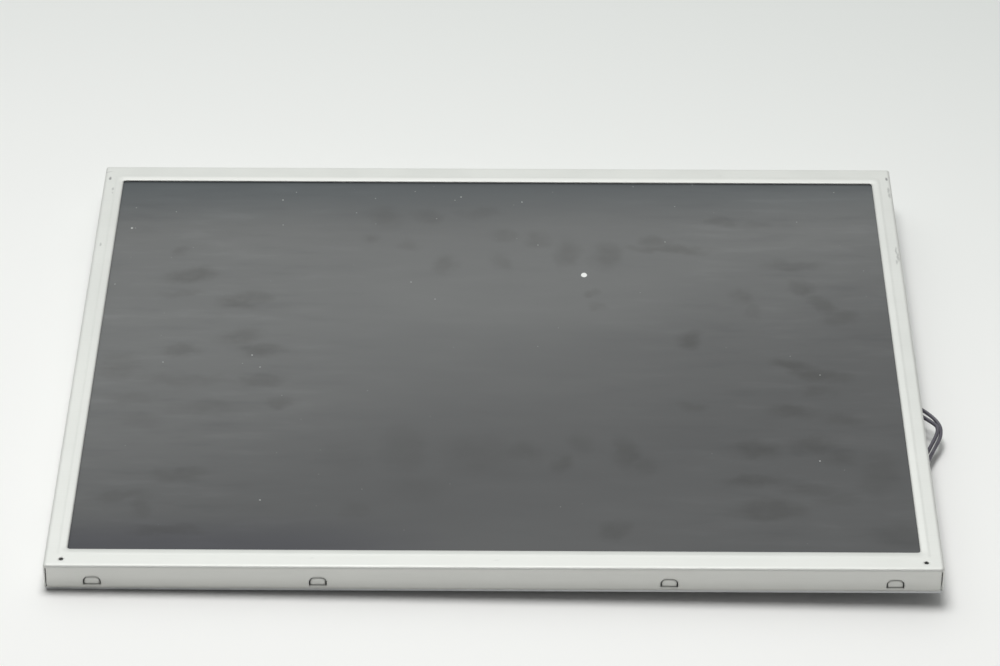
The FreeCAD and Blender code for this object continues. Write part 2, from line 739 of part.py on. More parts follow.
socket_near = stem_near - s.socket_play / 2
socket_mid = z_board - s.socket_thick / 2
socket_block = box("socket_block", (-s.socket_x / 2, s.socket_x / 2), (socket_near, socket_near + s.socket_y),
                   (z_board - s.socket_thick, z_board))
slot_half, slot_end = s.socket_slot_x / 2, socket_near + s.socket_slot_y
slot = box("socket_slot", (-slot_half, slot_half), (socket_near, slot_end),
           (socket_mid - s.socket_slot_thick / 2, socket_mid + s.socket_slot_thick / 2))
keep(cut("signal_connector", socket_block, slot), "signal_connector")

shield = new_body("board_shield")
thick = s.shield_thick
rear = as_size(0.0)
shield_far = half_y - s.shield_edge
shield_wall_end = tray_far - s.shield_wall_inset
shield_outline = tee(shield_x, shield_near, shield_stem_x, shield_stem_near, shield_far)
pad(shield, "XY_Plane", rear, thick, [shield_outline])
outer = tee(shield_x, shield_near, shield_stem_x, shield_stem_near, shield_wall_end)
inner = tee(shield_x - thick, shield_near + thick, shield_stem_x - thick, shield_stem_near + thick,
            shield_wall_end)
wall_loop = [outer[-1]] + outer[:-1] + inner[-2::-1] + [inner[-1]]
pad(shield, "XY_Plane", thick, z_chassis - thick, [wall_loop])
film_guard = rect(-shield_x, shield_x, shield_far - thick, shield_far)
pad(shield, "XY_Plane", thick, z_wall - s.guard_play - thick, [film_guard])
pad(shield, "XY_Plane", z_chassis - thick, thick, [loop for loop, seat in EARS])
pocket(shield, "XY_Plane", z_chassis - thick, thick, screw_holes)
mouth_half = s.socket_x / 2 + s.socket_play
mouth = rect(-mouth_half, mouth_half, thick, z_board + s.board_thick / 2)
pocket(shield, "XZ_Plane", -shield_stem_near - thick, thick, [mouth])
vent_y = stem_near + s.stem_depth * timer_up
vent_x = -s.vent_pitch * 1.5
vent = rect(vent_x - s.vent_length / 2, vent_x + s.vent_length / 2, vent_y - s.vent_width / 2,
            vent_y + s.vent_width / 2)
repeat(shield, pocket(shield, "XY_Plane", rear, thick, [vent]), "H_Axis", s.vent_pitch, 4)


# Screws and side mount nuts

def screw(seat, level, grip):
    x, y = seat
    tail = level - s.screw_head_thick
    head = cylinder("screw_head", s.screw_head_radius, s.screw_head_thick, (x, y, tail))
    shank = cylinder("screw_shank", s.screw_radius, grip, (x, y, level))
    depth = (tail, tail + s.cross_depth)
    slots = []
    arm, half = s.cross_length / 2, s.cross_width / 2
    for across, along in ((arm, half), (half, arm)):
        slots.append(box("screw_slot", (x - across, x + across), (y - along, y + along), depth))
    return cut("screw", fuse("screw_blank", head, shank), *slots)


grip = thick + s.chassis_thick - s.screw_play
group("shield_screws", [screw(seat, z_chassis - thick, grip) for seat in SHIELD_SCREWS])
nuts = []
for side in (-1, 1):
    turn = Rotation(Vector(0, 1, 0), 90 * side)
    for y in MOUNT_PLACES:
        root = ((seat_x - s.nut_length) * side, y, mount_z)
        barrel = place(doc.addObject("Part::Prism", "nut_barrel"), root, turn)
        bind(barrel, "Circumradius", s.nut_side)
        bind(barrel, "Height", s.nut_length)
        nuts.append(cut("side_nut", barrel, cylinder("nut_bore", s.mount_bore, s.nut_length, root, turn)))
group("side_mount_nuts", nuts)


# Lamp leads: held in the side channel, out through a rubber grommet in the right wall, round in a
# loose bend and back under the chassis to a plug

WIRE_FLATS = 12


def lead(label, points):
    """Sweeps a wire of many flats along straight runs that are joined by tangent arcs."""
    points = [Vector(*[as_size(value).value for value in point]) for point in points]
    edges, radii = [], []
    start = points[0]
    for before, corner, after in zip(points, points[1:], points[2:]):
        to_before, to_after = before - corner, after - corner
        reach = 0.45 * min(to_before.Length, to_after.Length)
        half_turn = (math.pi - to_before.getAngle(to_after)) / 2
        radius = reach / math.tan(half_turn)
        to_before.normalize()
        to_after.normalize()
        inward = (to_before + to_after).normalize()
        first, last = corner + to_before * reach, corner + to_after * reach
        middle = corner + inward * (radius / math.cos(half_turn) - radius)
        edges += [Part.LineSegment(start, first), Part.Arc(first, middle, last)]
        radii.append(round(radius, 1))
        start = last
    edges.append(Part.LineSegment(start, points[-1]))
    path = Part.Wire([edge.toShape() for edge in edges])
    along = (points[1] - points[0]).normalize()
    across = along.cross(Vector(0, 0, 1)).normalize() * s.lead_radius.value
    turns = [Rotation(along, 360 * index / WIRE_FLATS) for index in range(WIRE_FLATS)]
    rim = [points[0] + turn.multVec(across) for turn in turns]
    ring = Part.makePolygon(rim + rim[:1])
    item = doc.addObject("Part::Feature", label)
    item.Shape = path.makePipeShell([ring], True, False)
    section = Part.Face(ring).Area
    print(label, "length", round(path.Length, 1), "radii", radii,
          "volume ratio", round(item.Shape.Volume / (section * path.Length), 3))
    return keep(item, label)


plug_x = tray_x - s.plug_inset
plug_thick = z_chassis - s.plug_lift * 2
plug_mid = s.plug_lift + plug_thick / 2
plug_rows = {"outer": s.plug_y - s.plug_pitch / 2, "inner": s.plug_y + s.plug_pitch / 2}
row_half = s.lead_radius + s.lead_gap / 2
HELD = [
    ("outer", lamp_row + row_half, lead_outer_x, s.lead_outer_exit),
    ("inner", lamp_row - row_half, lead_inner_x, s.lead_inner_exit),
]
LOOSE = {
    "outer": [(0.72, -0.72, 1.0), (1.07, -1.70, 0.45), (0.60, -2.98, 0.08), (-0.16, -4.38, 0.0)],
    "inner": [(0.50, -0.50, 1.0), (0.86, -1.11, 0.55), (0.53, -2.00, 0.15), (-0.06, -3.25, 0.0)],
}
LAST_RUN = {"outer": 1.0, "inner": 0.97}


def loose_points(name, exit_y):
    """The bend outside the wall, by shares of the bow and of the drop from the exit to the plug."""
    return [(tray_x + s.lead_bow * out, exit_y + s.lead_bow * along, plug_mid + (lead_z - plug_mid) * up)
            for out, along, up in LOOSE[name]]


grommet_tools = []
for name, start_y, run_x, exit_y in HELD:
    turn_y = exit_y + (tray_x - run_x)
    exit_point = (tray_x, exit_y, lead_z)
    lead(f"lamp_lead_{name}_held",
         [(box_half, start_y, lead_z), (run_x, start_y, lead_z), (run_x, turn_y, lead_z), exit_point])
    plug_end = (plug_x, plug_rows[name], plug_mid)
    before_plug = (plug_x + s.lead_bow * LAST_RUN[name], plug_rows[name], plug_mid)
    lead(f"lamp_lead_{name}", [exit_point] + loose_points(name, exit_y) + [before_plug, plug_end])
    slant = Rotation(Vector(0, 0, 1), Vector(1, -1, 0))
    hole_start = (tray_x - s.chassis_thick * 3, exit_y + s.chassis_thick * 3, lead_z)
    hole_radius = s.lead_radius + s.fit_gap
    grommet_tools.append(cylinder("grommet_hole", hole_radius, s.chassis_thick * 8, hole_start, slant))
grommet_y = (notch_near + s.grommet_gap, notch_far - s.grommet_gap)
grommet_z = (z_reflector, notch_top - s.grommet_gap)
rubber = box("grommet_block", (seat_x, tray_x), grommet_y, grommet_z)
keep(cut("lead_grommet", rubber, *grommet_tools), "lead_grommet")

plug = new_body("lamp_plug")
plug_half = s.plug_width / 2
plug_top = s.plug_lift + plug_thick
tail_length = s.plug_length * 0.45
nose_length = s.plug_length - tail_length
nose_inset = plug_thick * 0.08
pad(plug, "YZ_Plane", plug_x - tail_length, tail_length,
    [rect(s.plug_y - plug_half, s.plug_y + plug_half, s.plug_lift, plug_top)])
nose = rect(s.plug_y - plug_half + nose_inset * 2, s.plug_y + plug_half - nose_inset * 2,
            s.plug_lift + nose_inset, plug_top - nose_inset)
pad(plug, "YZ_Plane", plug_x - s.plug_length, nose_length, [nose])
socket_half = s.lead_radius * 0.8
sockets = [rect(y - socket_half, y + socket_half, plug_mid - socket_half, plug_mid + socket_half)
           for y in plug_rows.values()]
pocket(plug, "YZ_Plane", plug_x - s.plug_length, nose_length, sockets)

doc.recompute()
for item in doc.Objects:
    if {"Invalid", "Error"} & set(item.State):
        raise RuntimeError(f"{item.Label} did not build: {item.State}")
os.makedirs("parts", exist_ok=True)
for item in pieces:
    if item.Shape.isNull() or not item.Shape.isValid():
        raise RuntimeError(f"{item.Label} has no sound shape")
    item.Shape.exportStep(f"parts/{item.Label}.step")
print(len(pieces), "pieces written")
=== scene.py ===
# %% [markdown]
# # A flat screen module on a white table
# The solids come from the packed CAD model, already in their places, so this lesson is about looks:
# the camera, the loose lamp leads, the light, and one node material for each finish on the module.
# The scene is in metres, in the frame of the CAD model, and a size that is easier to read in
# millimetres is multiplied by MM. X runs across the screen, Y to its far edge and Z out of its front.

# %% Load the frame
import json
import math

import bpy
from mathutils import Matrix, Vector


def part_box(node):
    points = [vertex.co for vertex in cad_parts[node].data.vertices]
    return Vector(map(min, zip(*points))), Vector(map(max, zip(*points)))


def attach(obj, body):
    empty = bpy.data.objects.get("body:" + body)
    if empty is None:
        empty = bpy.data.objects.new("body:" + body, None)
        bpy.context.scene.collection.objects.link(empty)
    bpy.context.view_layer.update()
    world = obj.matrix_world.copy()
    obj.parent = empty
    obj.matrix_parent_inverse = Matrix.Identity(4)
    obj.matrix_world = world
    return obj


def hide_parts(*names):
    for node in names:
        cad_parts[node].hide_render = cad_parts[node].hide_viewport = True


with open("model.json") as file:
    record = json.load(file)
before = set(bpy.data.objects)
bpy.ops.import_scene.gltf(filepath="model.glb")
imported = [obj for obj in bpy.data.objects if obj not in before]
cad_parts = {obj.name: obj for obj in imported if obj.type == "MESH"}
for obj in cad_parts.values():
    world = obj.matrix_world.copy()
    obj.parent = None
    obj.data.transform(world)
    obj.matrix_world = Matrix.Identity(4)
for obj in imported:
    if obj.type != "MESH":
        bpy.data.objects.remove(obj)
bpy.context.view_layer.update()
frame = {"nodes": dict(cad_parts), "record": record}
nodes = frame["nodes"]
MM = 0.001

# %% [markdown]
# ## Camera
# The photograph was taken from the near side with a long lens, looking down at about 35 degrees. A
# camera could be aimed with a Track To constraint, but that leaves no room for the small roll that
# the photograph has. So its three axes are worked out here and put straight into its matrix.

# %% Camera
FRAME_WIDTH, FRAME_HEIGHT = 1000, 666
FOCAL_PIXELS = 3986.7
SENSOR_WIDTH = 36.0
CLIP_NEAR, CLIP_FAR = 0.05, 50
eye = Vector((6.8, -1396.58, 995.09)) * MM
pitch, turn, roll = (math.radians(angle) for angle in (34.709, 0.206, 0.140))

back = Vector((math.sin(turn) * math.cos(pitch), -math.cos(turn) * math.cos(pitch), math.sin(pitch)))
level_right = Vector((0, 0, 1)).cross(back).normalized()
level_up = back.cross(level_right)
right = level_right * math.cos(roll) + level_up * math.sin(roll)
up = level_up * math.cos(roll) - level_right * math.sin(roll)

lens = bpy.data.cameras.new("photo_camera")
lens.sensor_width = SENSOR_WIDTH
lens.lens = FOCAL_PIXELS * SENSOR_WIDTH / FRAME_WIDTH
lens.clip_start, lens.clip_end = CLIP_NEAR, CLIP_FAR
camera = bpy.data.objects.new("photo_camera", lens)
bpy.context.collection.objects.link(camera)
camera.matrix_world = Matrix.Translation(eye) @ Matrix((right, up, back)).transposed().to_4x4()
bpy.context.scene.camera = camera
bpy.context.scene.view_settings.view_transform = "Standard"
print("lens", round(lens.lens, 1), "mm, at", round(eye.length, 2), "m")

# %% [markdown]
# ## Lamp leads
# Two thin wires leave the right wall, bow out and go back under the module to a plug. A wire this
# thin could be a mesh tube, but a NURBS curve with a round bevel bends smoothly between the points
# of the route, as a real wire does, and stays easy to move. Each point carries the wire's radius.

# %% Loose leads
LEAD_DIAMETER = 1.6 * MM
LEAD_ROUTES = {
    "lamp_lead_outer": [(178.6, -22.2, 6.1), (184.9, -28.5, 6.1), (189.2, -37.6, 4.2), (182.6, -52.0, 2.4),
                        (178.5, -64.0, 2.1), (167.5, -78.0, 2.1), (157.5, -78.0, 2.1)],
    "lamp_lead_inner": [(178.6, -27.5, 6.1), (184.3, -33.2, 6.1), (187.2, -38.2, 6.0), (182.7, -47.5, 3.2),
                        (177.8, -58.5, 2.1), (167.2, -75.5, 2.1), (157.5, -75.5, 2.1)],
}


def loose_lead(node, route):
    """A smooth wire along a route of the CAD model, in place of its plain tube."""
    curve = bpy.data.curves.new(f"{node}_wire", "CURVE")
    curve.dimensions = "3D"
    curve.bevel_depth = 1.0
    curve.bevel_resolution = 6
    curve.resolution_u = 16
    curve.use_fill_caps = True
    spline = curve.splines.new("NURBS")
    spline.points.add(len(route) - 1)
    for point, place in zip(spline.points, route):
        point.co = (*(Vector(place) * MM), 1.0)
        point.radius = LEAD_DIAMETER / 2
    spline.order_u = 3
    spline.use_endpoint_u = True
    wire = bpy.data.objects.new(f"{node}_wire", curve)
    bpy.context.collection.objects.link(wire)
    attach(wire, "root")
    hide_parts(node)
    return wire


wires = [loose_lead(node, route) for node, route in LEAD_ROUTES.items()]
print([wire.name for wire in wires])

# %% [markdown]
# ## Light
# The photograph's light is soft and comes from above, so the level faces are bright and the near wall
# is a step darker, with a soft shadow at its foot. An even white world would wash that step out. So
# one square soft box hangs overhead, a little behind the module's middle, in a room that is pale along
# the horizon and high at the far side, and dim elsewhere. The room is a small graph of nodes. One
# helper adds each of them in a single call: its inputs are values, or sockets of earlier nodes.

# %% Room
ROOM_DIM, ROOM_PALE = (0.152, 0.152, 0.152, 1), (0.84, 0.875, 0.855, 1)
ROOM_HORIZON = (0.60, 0.61, 0.60, 1)
PALE_SIDE = Vector((-0.22, 0.72, 0.65))
PALE_FROM, PALE_FULL = 0.45, 0.95
HORIZON_FROM, HORIZON_FULL = 0.30, 0.0


def connect(tree, node, inputs):
    """Give a node its inputs, by name or number: each a value, or a socket of an earlier node."""
    for name, value in inputs.items():
        if isinstance(value, bpy.types.NodeSocket):
            tree.links.new(value, node.inputs[name])
        else:
            node.inputs[name].default_value = value


def add_node(tree, kind, inputs=None, **settings):
    """Add a node of one kind to a graph, with its settings and inputs."""
    node = tree.nodes.new(kind)
    for name, value in settings.items():
        setattr(node, name, value)
    connect(tree, node, inputs or {})
    return node


def mix_colours(tree, share, first, second, blend="MIX"):
    """Mix two colours, which are inputs 6 and 7 of the Mix node and leave it by output 2."""
    inputs = {0: share, 6: first, 7: second}
    return add_node(tree, "ShaderNodeMix", inputs, data_type="RGBA", blend_type=blend).outputs[2]


world = bpy.data.worlds.new("pale_room")
bpy.context.scene.world = world
world.use_nodes = True
room = world.node_tree
direction = add_node(room, "ShaderNodeTexCoord").outputs["Generated"]
lean = add_node(room, "ShaderNodeVectorMath", {0: direction, 1: PALE_SIDE}, operation="DOT_PRODUCT")
far_range = {"Value": lean.outputs["Value"], "From Min": PALE_FROM, "From Max": PALE_FULL}
far_share = add_node(room, "ShaderNodeMapRange", far_range).outputs[0]
rise = add_node(room, "ShaderNodeSeparateXYZ", {0: direction}).outputs["Z"]
low_range = {"Value": rise, "From Min": HORIZON_FROM, "From Max": HORIZON_FULL}
low_share = add_node(room, "ShaderNodeMapRange", low_range).outputs[0]
walls = mix_colours(room, low_share, ROOM_DIM, ROOM_HORIZON)
tone = mix_colours(room, far_share, walls, ROOM_PALE)
connect(room, room.nodes["Background"], {"Color": tone})
print("a room of", len(room.nodes), "nodes, pale at the far side and low down")

# %% Lamp
LAMP_PLACE = Vector((-0.07, 0.14, 1.6))
LAMP_SIDE = 0.65
LAMP_GLOW = 12.0
light = bpy.data.lights.new("overhead_softbox", "AREA")
light.shape = "SQUARE"
light.size = LAMP_SIDE
light.energy = LAMP_GLOW * math.pi * LAMP_SIDE * LAMP_SIDE
lamp = bpy.data.objects.new("overhead_softbox", light)
bpy.context.collection.objects.link(lamp)
lamp.location = LAMP_PLACE
lamp.rotation_mode = "QUATERNION"
lamp.rotation_quaternion = (-LAMP_PLACE).to_track_quat("-Z", "Y")
print("one soft box of", round(light.energy, 1), "W overhead")

# %% [markdown]
# ## Finishes as short recipes
# Each finish on the module is a node material around one main shader. Written out one property at a
# time it is long and hard to read. So this class keeps the graph of one finish, and its methods are
# the steps that come again and again: noise, smooth ranges, products, mixed colours and fine relief.

# %% A finish under construction
FINISHES = {}


class Finish:
    """A node material that is built up call by call around its main shader."""

    def __init__(self, name, **shader):
        self.material = bpy.data.materials.new(name)
        self.material.use_nodes = True
        self.tree = self.material.node_tree
        self.set(**shader)
        self.place = self.add("ShaderNodeTexCoord").outputs["Object"]
        FINISHES[name] = self

    def set(self, **inputs):
        """Give the main shader its inputs, with _ for each space in a name."""
        shader = self.tree.nodes["Principled BSDF"]
        connect(self.tree, shader, {name.replace("_", " "): value for name, value in inputs.items()})

    def add(self, kind, inputs=None, **settings):
        return add_node(self.tree, kind, inputs, **settings)

    def axes(self):
        """The place on the surface as X, Y and Z."""
        return self.add("ShaderNodeSeparateXYZ", {0: self.place}).outputs

    def grains(self, size, stretch):
        """The place counted in grains of one size, which a stretch under 1 draws out along its axis."""
        scale = [part / size for part in stretch]
        return self.add("ShaderNodeMapping", {"Vector": self.place, "Scale": scale}).outputs[0]

    def noise(self, size, detail=3.0, roughness=0.55, stretch=(1, 1, 1)):
        """Cloudy noise whose blobs are about one size across, in metres."""
        place = self.grains(size, stretch)
        inputs = {"Vector": place, "Scale": 1.0, "Detail": detail, "Roughness": roughness}
        return self.add("ShaderNodeTexNoise", inputs).outputs["Fac"]

    def range(self, value, low, high, to_low=0.0, to_high=1.0):
        """A value carried smoothly from one range to another, and held at its ends."""
        inputs = {"Value": value, "From Min": low, "From Max": high, "To Min": to_low, "To Max": to_high}
        return self.add("ShaderNodeMapRange", inputs, interpolation_type="SMOOTHSTEP").outputs[0]

    def math(self, operation, first, second=0.0):
        return self.add("ShaderNodeMath", {0: first, 1: second}, operation=operation).outputs[0]

    def product(self, first, second):
        return self.math("MULTIPLY", first, second)

    def mix(self, share, first, second, blend="MIX"):
        return mix_colours(self.tree, share, first, second, blend)

    def bump(self, height, depth, strength, rounding=0.0):
        """Fine relief, on edges that shade as if they were rounded by some metres."""
        inputs = {"Height": height, "Distance": depth, "Strength": strength}
        if rounding:
            inputs["Normal"] = self.add("ShaderNodeBevel", {"Radius": rounding}, samples=6).outputs[0]
        self.set(Normal=self.add("ShaderNodeBump", inputs).outputs[0])


print("steps of a finish:", *(step for step in vars(Finish) if not step.startswith("_")))

# %% [markdown]
# ## Table
# The module lies on a white table, a little higher at its right, so that the dark gap under the near
# wall grows to that side. The module could be turned to show that, but the CAD solids never move, so
# the table is one large plane with a slope of its own. Its white is warm near the camera, painted shade
# greys it towards the far right, and a faint cloud lies in it.

# %% Table
TABLE_DROP = 0.75 * MM
TABLE_SLOPE_X, TABLE_SLOPE_Y = -0.01425, -0.01622
TABLE_HALF = 2.5
CORNER_SIGNS = ((-1, -1), (1, -1), (1, 1), (-1, 1))


def table_level(x, y):
    return TABLE_SLOPE_X * x + TABLE_SLOPE_Y * y - TABLE_DROP


corners = [(x * TABLE_HALF, y * TABLE_HALF) for x, y in CORNER_SIGNS]
table_mesh = bpy.data.meshes.new("white_table")
table_mesh.from_pydata([(x, y, table_level(x, y)) for x, y in corners], [], [(0, 1, 2, 3)])
table = bpy.data.objects.new("white_table", table_mesh)
bpy.context.collection.objects.link(table)
bezel_low, bezel_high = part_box("front_bezel")
near_levels = [round(table_level(x, bezel_low.y) / MM, 2) for x in (bezel_low.x, bezel_high.x)]
print("table under the near corners at", near_levels, "mm")

# %% Table finish
TABLE_NEAR, TABLE_FAR_PAINTED_SHADE = (0.962, 0.957, 0.942, 1), (0.712, 0.732, 0.712, 1)
TABLE_CLOUD = (0.76, 0.77, 0.76, 1)
CLOUD_SHARE = 0.05
PAINTED_SHADE_FROM, PAINTED_SHADE_FULL = -0.20, 0.60
PAINTED_SHADE_LEAN = 0.22
tabletop = Finish("white_table", Roughness=0.85, Specular_IOR_Level=0.2)
split = tabletop.axes()
# Painted shade: the white greys towards the far right, where the light falls off.
painted_falloff = tabletop.math("ADD", split["Y"], tabletop.product(split["X"], PAINTED_SHADE_LEAN))
colour = tabletop.mix(tabletop.range(painted_falloff, PAINTED_SHADE_FROM, PAINTED_SHADE_FULL), TABLE_NEAR, TABLE_FAR_PAINTED_SHADE)
colour = tabletop.mix(tabletop.product(tabletop.noise(size=0.09), CLOUD_SHARE), colour, TABLE_CLOUD)
tabletop.set(Base_Color=colour)
table_mesh.materials.append(tabletop.material)
print("table in", len(tabletop.tree.nodes), "nodes")

# %% [markdown]
# ## Marks where the photograph has them
# The rubbed marks on the bezel, and the prints and dust on the screen, were read from the photograph
# as pixels. A ray from the camera through a pixel meets the level face at the mark's real place, so
# the mark stays there when the camera moves. A painted picture could show them too, but a mark that
# is a node can be moved, and stays sharp at any distance. Each is one turned ellipse with a soft rim.

# %% Marks on a level face
SPOT_INPUTS = {"Place": "Vector", "Centre": "Vector", "Size": "Vector", "Angle": "Float", "Fade": "Float"}
MIDDLE_GREY = (0.5, 0.5, 0.5)


def on_level(pixel, level):
    """The point of a level plane that the camera sees at a pixel of the photograph's frame."""
    x, y = pixel[0] - FRAME_WIDTH / 2, FRAME_HEIGHT / 2 - pixel[1]
    ray = right * x + up * y - back * FOCAL_PIXELS
    return eye + ray * ((level - eye.z) / ray.z)


def spot_group():
    """A node group that gives 1 inside a turned ellipse and fades to 0 at its rim."""
    group = bpy.data.node_groups.new("spot", "ShaderNodeTree")
    for name, kind in SPOT_INPUTS.items():
        group.interface.new_socket(name, in_out="INPUT", socket_type=f"NodeSocket{kind}")
    group.interface.new_socket("Mask", in_out="OUTPUT", socket_type="NodeSocketFloat")
    given = add_node(group, "NodeGroupInput").outputs
    apart = {0: given["Place"], 1: given["Centre"]}
    offset = add_node(group, "ShaderNodeVectorMath", apart, operation="SUBTRACT").outputs[0]
    angled = {"Vector": offset, "Angle": given["Angle"]}
    turned = add_node(group, "ShaderNodeVectorRotate", angled, rotation_type="Z_AXIS").outputs[0]
    shares = {0: turned, 1: given["Size"]}
    scaled = add_node(group, "ShaderNodeVectorMath", shares, operation="DIVIDE").outputs[0]
    reach = add_node(group, "ShaderNodeVectorMath", {0: scaled}, operation="LENGTH").outputs["Value"]
    rim = {"Value": reach, "From Min": given["Fade"], "From Max": 1.0, "To Min": 1.0, "To Max": 0.0}
    fade = add_node(group, "ShaderNodeMapRange", rim, interpolation_type="SMOOTHSTEP").outputs[0]
    add_node(group, "NodeGroupOutput", {"Mask": fade})
    return group


SPOT = spot_group()


def spots(finish, place, marks, level, fade):
    """The strongest of many marks. Each has its pixel x and y, its half length and half width in mm
    where it is at half strength, its angle in degrees and its strength."""
    total, reach = 0.0, 2 * MM / (1 + fade)
    for x, y, length, width, angle, strength in marks:
        inputs = {"Place": place, "Centre": on_level((x, y), level), "Angle": math.radians(-angle),
                  "Size": (length * reach, width * reach, 1.0), "Fade": fade}
        mask = finish.add("ShaderNodeGroup", inputs, node_tree=SPOT).outputs[0]
        total = finish.math("MAXIMUM", finish.product(mask, strength), total)
    return total


def wobble(finish, size, amount):
    """The place on the surface, pushed about by noise so that outlines are not drawn with a compass."""
    cloud = finish.add("ShaderNodeTexNoise", {"Vector": finish.place, "Scale": 1 / size, "Detail": 3.0})
    about_zero = {0: cloud.outputs["Color"], 1: MIDDLE_GREY}
    push = finish.add("ShaderNodeVectorMath", about_zero, operation="SUBTRACT").outputs[0]
    push = finish.add("ShaderNodeVectorMath", {0: push, "Scale": amount}, operation="SCALE").outputs[0]
    return finish.add("ShaderNodeVectorMath", {0: finish.place, 1: push}).outputs[0]


face_level = bezel_high.z
screen_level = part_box("front_polarizer")[1].z
print("bezel face at", round(face_level / MM, 2), "mm, screen at", round(screen_level / MM, 2), "mm")

# %% [markdown]
# ## Bezel
# The front bezel is pressed from sheet steel with a satin plated face. A plain grey metal would look
# like a mirror of the room, so the finish has fine rolling marks along X and a cloudy roughness. Its
# walls darken towards their foot with painted shade, its folds shade a little rounder than they are,
# and dark rubbed marks sit on its face where the photograph has them.

# %% Bezel finish
BEZEL_SCUFFS = [
    (110.3, 178.5, 0.5, 1.1, 0, 0.60), (112.9, 188.8, 0.4, 1.1, 0, 0.28),
    (112.3, 192.5, 0.3, 0.8, 0, 0.18), (100.4, 244.3, 0.4, 1.2, 0, 0.28),
    (886.5, 179.3, 0.5, 1.2, 0, 0.60), (888.3, 190.5, 0.5, 2.2, 0, 0.32),
    (889.2, 195.5, 0.5, 2.0, 0, 0.30), (896.2, 251.0, 0.4, 2.6, 0, 0.32),
    (898.0, 257.0, 0.5, 3.0, 0, 0.32), (897.0, 262.0, 0.4, 1.6, 0, 0.25),
    (109.0, 172.0, 1.8, 0.2, 15, 0.30), (60.5, 557.0, 1.2, 0.2, 40, 0.20),
    (497.0, 560.0, 1.4, 0.2, 5, 0.15), (720.0, 176.0, 1.2, 0.2, 0, 0.15),
    (312.0, 558.0, 1.0, 0.2, 12, 0.15),
]
PLATE_DARK, PLATE_PALE = (0.715, 0.719, 0.694, 1), (0.745, 0.749, 0.724, 1)
ROLLED_LINE, ROLLED_SHARE = (0.64, 0.64, 0.615, 1), 0.12
FOOT_PAINTED_SHADE = (0.82, 0.82, 0.81, 1)
FOOT_FROM, FOOT_FULL = 0.012, 0.004
RUBBED = (0.06, 0.06, 0.07, 1)
FOLD_ROUNDING = 0.0014
bezel = Finish("bezel_steel", Metallic=0.8)
clouds = bezel.noise(size=0.03)
rolled = bezel.noise(size=0.0006, detail=2.0, stretch=(0.03, 1, 1))
scuffs = spots(bezel, wobble(bezel, size=0.002, amount=0.0012), BEZEL_SCUFFS, face_level, fade=0.2)
colour = bezel.mix(bezel.range(clouds, 0.35, 0.7), PLATE_DARK, PLATE_PALE)
colour = bezel.mix(bezel.product(bezel.range(rolled, 0.45, 0.75), ROLLED_SHARE), colour, ROLLED_LINE)
# Painted shade: the walls darken towards their foot.
painted_foot_shade = bezel.range(bezel.axes()["Z"], FOOT_FROM, FOOT_FULL)
colour = bezel.mix(painted_foot_shade, colour, FOOT_PAINTED_SHADE, "MULTIPLY")
colour = bezel.mix(scuffs, colour, RUBBED)
bezel.set(Base_Color=colour, Roughness=bezel.range(clouds, 0.3, 0.75, to_low=0.57, to_high=0.65))
bezel.bump(rolled, depth=0.00002, strength=0.25, rounding=FOLD_ROUNDING)
print("bezel with", len(BEZEL_SCUFFS), "rubbed marks")

# %% [markdown]
# ## Screen face
# The front polarizer is a dark matt film. Switched off it is a grey that comes partly from its own
# haze and partly from the light that it mirrors. Its haze is bluish at the far edge, a broad paler band
# across the far half is a painted reflection, and painted shade darkens the near left corner. Handling
# has left pale and dark wipe streaks, greasy prints that lower the haze and warm it, flecks of dust,
# and fine specks that are more frequent at the far edge. One recipe would be long, so each layer has a
# cell of its own.

# %% Haze of the screen
HAZE_NEAR, HAZE_FAR = (0.066, 0.067, 0.069, 1), (0.060, 0.069, 0.075, 1)
PAINTED_REFLECTION_BAND = (0.130, 0.133, 0.133, 1)
PAINTED_CORNER_SHADE = (0.041, 0.041, 0.050, 1)
FAR_EDGE_FROM, FAR_EDGE_FULL = 0.08, 0.13
BAND_NEAR_FROM, BAND_NEAR_FULL, BAND_NEAR_LEAN = -0.10, 0.07, 0.38
BAND_FAR_FROM, BAND_FAR_FULL, BAND_FAR_LEAN = 0.15, 0.08, 0.05
CORNER_Y_FROM, CORNER_Y_FULL = -0.108, -0.135
CORNER_X_FROM, CORNER_X_FULL = 0.0, -0.09
screen = Finish("screen_face", Specular_IOR_Level=0.5)
split = screen.axes()
left_to_right, near_to_far = split["X"], split["Y"]
near_side = screen.math("SUBTRACT", near_to_far, screen.product(left_to_right, BAND_NEAR_LEAN))
far_side = screen.math("SUBTRACT", near_to_far, screen.product(left_to_right, BAND_FAR_LEAN))
near_fade = screen.range(near_side, BAND_NEAR_FROM, BAND_NEAR_FULL)
far_fade = screen.range(far_side, BAND_FAR_FROM, BAND_FAR_FULL)
haze_and_painted_light = screen.mix(screen.range(near_to_far, FAR_EDGE_FROM, FAR_EDGE_FULL), HAZE_NEAR, HAZE_FAR)
# Painted reflection: a paler band across the far half of the screen.
haze_and_painted_light = screen.mix(screen.product(near_fade, far_fade), haze_and_painted_light, PAINTED_REFLECTION_BAND)
# Painted shade: darker at the near left corner of the screen.
corner_y = screen.range(near_to_far, CORNER_Y_FROM, CORNER_Y_FULL)
corner_x = screen.range(left_to_right, CORNER_X_FROM, CORNER_X_FULL)
haze_and_painted_light = screen.mix(screen.product(corner_y, corner_x), haze_and_painted_light, PAINTED_CORNER_SHADE)
print("haze in", len(screen.tree.nodes), "nodes")

